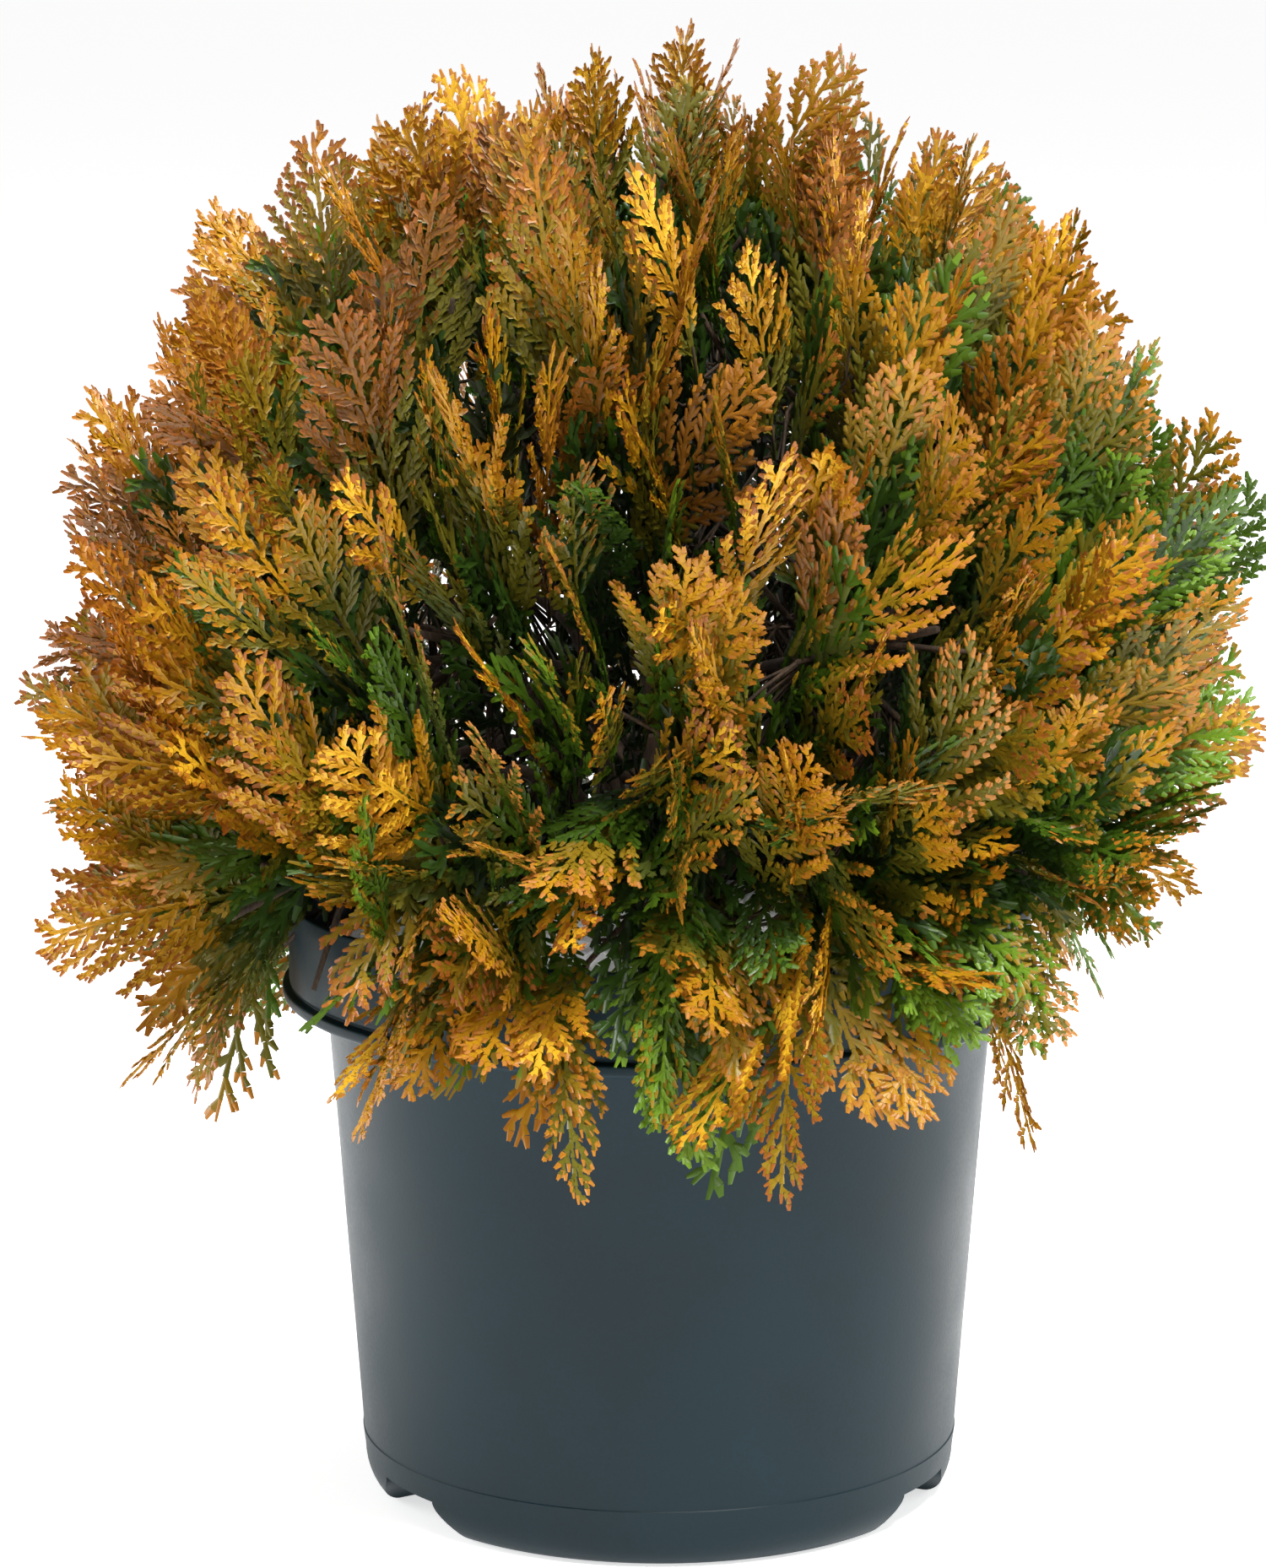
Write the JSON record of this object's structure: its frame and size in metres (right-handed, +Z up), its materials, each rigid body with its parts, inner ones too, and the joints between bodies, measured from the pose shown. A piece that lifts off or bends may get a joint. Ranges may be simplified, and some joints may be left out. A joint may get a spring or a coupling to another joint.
{
  "type": "potted dwarf globe arborvitae",
  "caption": "Dense ball-shaped dwarf conifer with upright fan sprays in gold, bronze and green, growing in a round dark nursery pot with its root ball.",
  "frame": {"origin": "centre of the pot's flat underside, where it stands", "axes": "+Z up, -Y towards the side the picture shows, +X to the right in it"},
  "size_m": [0.3807, 0.3606, 0.4487],
  "materials": {
    "pot_plastic": "satin",
    "potting_soil": "matte",
    "bark": "matte",
    "foliage_gold": "matte",
    "foliage_bronze": "matte",
    "foliage_olive": "matte",
    "foliage_green": "matte"
  },
  "bodies": {
    "root": {"pot": "pot_plastic", "root_ball": "potting_soil", "trunk": "bark", "bough_lower_front": "bark", "bough_lower_front_right": "bark", "bough_lower_back_right": "bark", "bough_lower_back": "bark", "bough_lower_back_left": "bark", "bough_lower_front_left": "bark", "bough_middle_right_front": "bark", "bough_middle_right": "bark", "bough_middle_right_back": "bark", "bough_middle_left_back": "bark", "bough_middle_left": "bark", "bough_middle_left_front": "bark", "bough_upper_front_right": "bark", "bough_upper_back_right": "bark", "bough_upper_back_left": "bark", "bough_upper_front_left": "bark", "bough_top_crown": "bark", "foliage_lower_front": "foliage_olive", "foliage_lower_front_right": "foliage_green", "foliage_lower_back_right": "foliage_green", "foliage_lower_back": "foliage_olive", "foliage_lower_back_left": "foliage_olive", "foliage_lower_front_left": "foliage_gold", "foliage_middle_right_front": "foliage_gold", "foliage_middle_right": "foliage_green", "foliage_middle_right_back": "foliage_olive", "foliage_middle_left_back": "foliage_gold", "foliage_middle_left": "foliage_bronze", "foliage_middle_left_front": "foliage_olive", "foliage_upper_front_right": "foliage_gold", "foliage_upper_back_right": "foliage_olive", "foliage_upper_back_left": "foliage_gold", "foliage_upper_front_left": "foliage_bronze", "foliage_top_crown": "foliage_gold"}
  },
  "joints": []
}
